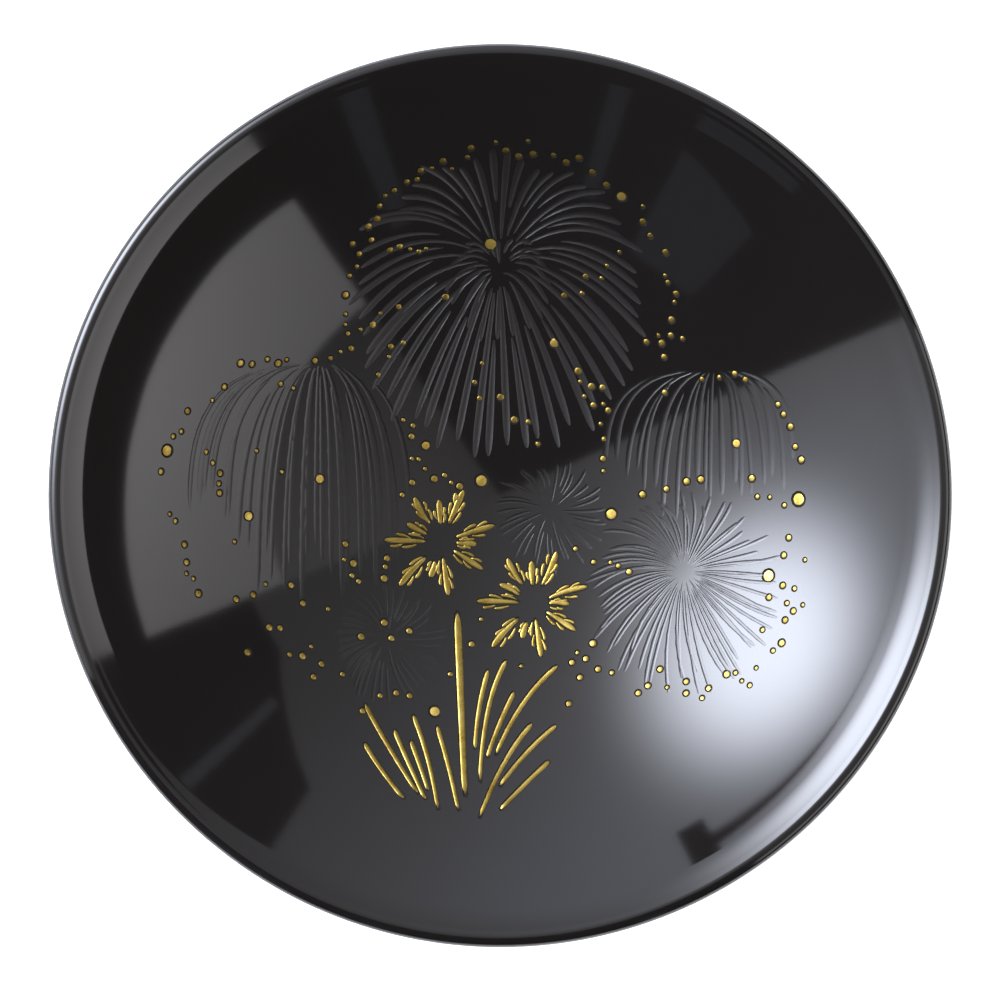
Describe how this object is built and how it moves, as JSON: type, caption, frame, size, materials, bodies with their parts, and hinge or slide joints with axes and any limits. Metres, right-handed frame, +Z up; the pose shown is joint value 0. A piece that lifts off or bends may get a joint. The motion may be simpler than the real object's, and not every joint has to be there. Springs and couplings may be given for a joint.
{
  "type": "lacquered bowl",
  "caption": "Wide shallow round serving bowl on a foot ring, black lacquer over a turned wood core, with a turned-out lip and fireworks of gold inlay inside.",
  "frame": {"origin": "centre of the foot's resting face, on the turning axis", "axes": "+Z up along the turning axis, -Y towards the base of the gold fountain, +X to its right seen from above"},
  "size_m": [0.2396, 0.2396, 0.0563],
  "materials": {
    "wood": "turned hardwood, bare under its coats",
    "hemp_cloth": "plain hemp cloth soaked in lacquer",
    "undercoat": "clay and lacquer ground, rubbed flat",
    "black_lacquer": "mirror-polished black lacquer with engraved strokes",
    "gold": "gold leaf and powder pressed into engraved cuts, satin and slightly grainy"
  },
  "bodies": {
    "root": {"wood_core": "wood", "foot_ring": "wood", "rim_cloth": "hemp_cloth", "centre_cloth": "hemp_cloth", "foot_cloth": "hemp_cloth", "inner_undercoat": "undercoat", "outer_undercoat": "undercoat", "inner_lacquer": "black_lacquer", "outer_lacquer": "black_lacquer", "foot_lacquer": "black_lacquer", "gold_petal_lower_01": "gold", "gold_petal_lower_02": "gold", "gold_petal_lower_03": "gold", "gold_petal_lower_04": "gold", "gold_petal_lower_05": "gold", "gold_petal_lower_06": "gold", "gold_petal_lower_07": "gold", "gold_petal_lower_08": "gold", "gold_petal_lower_09": "gold", "gold_petal_lower_10": "gold", "gold_petal_lower_11": "gold", "gold_petal_upper_01": "gold", "gold_petal_upper_02": "gold", "gold_petal_upper_03": "gold", "gold_petal_upper_04": "gold", "gold_petal_upper_05": "gold", "gold_petal_upper_06": "gold", "gold_petal_upper_07": "gold", "gold_petal_upper_08": "gold", "gold_petal_upper_09": "gold", "gold_petal_upper_10": "gold", "gold_petal_upper_11": "gold", "gold_stem": "gold", "gold_stroke_left_1": "gold", "gold_stroke_left_2": "gold", "gold_stroke_left_3": "gold", "gold_stroke_left_4": "gold", "gold_stroke_left_5": "gold", "gold_stroke_left_6": "gold", "gold_stroke_right_1": "gold", "gold_stroke_right_2": "gold", "gold_stroke_right_3": "gold", "gold_stroke_right_4": "gold", "gold_stroke_right_5": "gold", "gold_stroke_right_6": "gold", "gold_stroke_right_7": "gold", "gold_star_01": "gold", "gold_star_02": "gold", "gold_star_03": "gold", "gold_star_04": "gold", "gold_star_05": "gold", "gold_star_06": "gold", "gold_star_07": "gold", "gold_star_08": "gold", "gold_star_09": "gold", "gold_star_10": "gold", "gold_star_11": "gold", "gold_star_12": "gold", "gold_star_13": "gold"}
  },
  "joints": []
}
